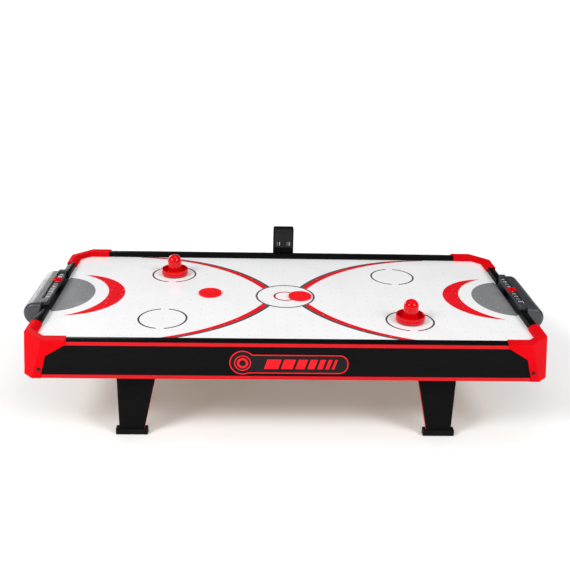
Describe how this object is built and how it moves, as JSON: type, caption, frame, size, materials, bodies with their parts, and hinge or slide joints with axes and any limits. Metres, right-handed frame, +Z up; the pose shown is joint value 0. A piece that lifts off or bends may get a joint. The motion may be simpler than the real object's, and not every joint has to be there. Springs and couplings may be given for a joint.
{
  "type": "air hockey table",
  "caption": "Tabletop air hockey table with a perforated field, end goals with score sliders, scoreboard, blower fan, mallets and pucks.",
  "frame": {"origin": "on the surface the feet stand on, under the middle of the whole footprint, scoreboard included", "axes": "+X along the length towards the right-hand goal, +Y towards the scoreboard side, +Z up"},
  "size_m": [1.086, 0.54, 0.2814],
  "materials": {
    "field_laminate": "white gloss laminate with printed markings",
    "raw_fibreboard": "bare fibreboard",
    "black_foil": "black satin foil on fibreboard",
    "red_trim": "red gloss edging",
    "red_abs": "red moulded gloss",
    "mallet_red": "red moulded gloss",
    "puck_red": "red moulded satin",
    "black_rail": "black extruded satin",
    "grey_abs": "grey moulded satin",
    "black_abs": "black moulded fine texture",
    "black_screw": "black oxide",
    "zinc_steel": "bright zinc plate",
    "smoked_lens": "smoked acrylic",
    "display_face": "display module",
    "circuit_board": "green solder mask",
    "felt": "pressed felt",
    "badge_print": "printed gloss plate"
  },
  "bodies": {
    "table": {"playfield": "field_laminate", "bottom_panel": "raw_fibreboard", "rear_batten": "raw_fibreboard", "rear_apron": "black_foil", "rear_rail": "black_rail", "front_batten": "raw_fibreboard", "front_apron": "black_foil", "front_rail": "black_rail", "right_batten": "raw_fibreboard", "right_apron": "black_foil", "right_end_rails": "black_rail", "right_goal_housing": "grey_abs", "left_batten": "raw_fibreboard", "left_apron": "black_foil", "left_end_rails": "black_rail", "left_goal_housing": "grey_abs", "rear_right_corner_cap": "red_abs", "rear_right_leg": "black_foil", "front_right_corner_cap": "red_abs", "front_right_leg": "black_foil", "rear_left_corner_cap": "red_abs", "rear_left_leg": "black_foil", "front_left_corner_cap": "red_abs", "front_left_leg": "black_foil", "rail_trims": "red_trim", "apron_trims": "red_trim", "leg_edge_bands": "red_trim", "feet": "black_abs", "leg_brackets": "zinc_steel", "leg_bolts": "zinc_steel", "leg_bracket_screws": "zinc_steel", "corner_cap_screws": "black_screw", "bottom_panel_screws": "black_screw", "goal_screws": "black_screw", "badge": "badge_print", "scoreboard_bracket": "black_abs", "scoreboard_bracket_screws": "black_screw", "scoreboard_front": "black_abs", "scoreboard_rear": "black_abs", "scoreboard_lens": "smoked_lens", "scoreboard_digits": "display_face", "scoreboard_circuit": "circuit_board", "scoreboard_screws": "black_screw", "fan_frame": "black_abs", "fan_motor": "zinc_steel", "fan_guard": "black_abs", "fan_screws": "zinc_steel", "switch_body": "black_abs", "power_inlet": "black_abs"},
    "right_slider": {"right_score_slider": "red_abs"},
    "left_slider": {"left_score_slider": "red_abs"},
    "reset_button": {"scoreboard_button": "black_abs"},
    "impeller": {"fan_impeller": "black_abs"},
    "rocker": {"switch_rocker": "black_abs"},
    "mallet_a": {"mallet_a": "mallet_red", "mallet_a_pad": "felt"},
    "mallet_b": {"mallet_b": "mallet_red", "mallet_b_pad": "felt"},
    "puck_1": {"puck_1": "puck_red"},
    "puck_2": {"puck_2": "puck_red"}
  },
  "joints": [
    {"name": "mallet_a_glide", "type": "slide", "parent": "table", "child": "mallet_a", "axis": [1, 0, 0], "range_m": [-0.2057, 0.2213]},
    {"name": "mallet_b_glide", "type": "slide", "parent": "table", "child": "mallet_b", "axis": [1, 0, 0], "range_m": [-0.2224, 0.2046]},
    {"name": "puck_1_glide", "type": "slide", "parent": "table", "child": "puck_1", "axis": [1, 0, 0], "range_m": [-0.3438, 0.11]},
    {"name": "puck_2_glide", "type": "slide", "parent": "table", "child": "puck_2", "axis": [1, 0, 0], "range_m": [-0.03, 0.476]},
    {"name": "right_score_slide", "type": "slide", "parent": "table", "child": "right_slider", "axis": [0, 1, 0], "range_m": [-0.0679, 0.068]},
    {"name": "left_score_slide", "type": "slide", "parent": "table", "child": "left_slider", "axis": [0, 1, 0], "range_m": [-0.0967, 0.0392]},
    {"name": "fan_spin", "type": "hinge", "parent": "table", "child": "impeller", "pos_m": [0, -0.007, 0.173], "axis": [0, 0, 1], "continuous": true},
    {"name": "power_rocker", "type": "hinge", "parent": "table", "child": "rocker", "pos_m": [0.372, 0.2508, 0.176], "axis": [1, 0, 0], "range_deg": [-16, 0]},
    {"name": "reset_press", "type": "slide", "parent": "table", "child": "reset_button", "axis": [0, -1, 0], "range_m": [0, 0.0012], "stiffness_N_per_m": 300}
  ]
}
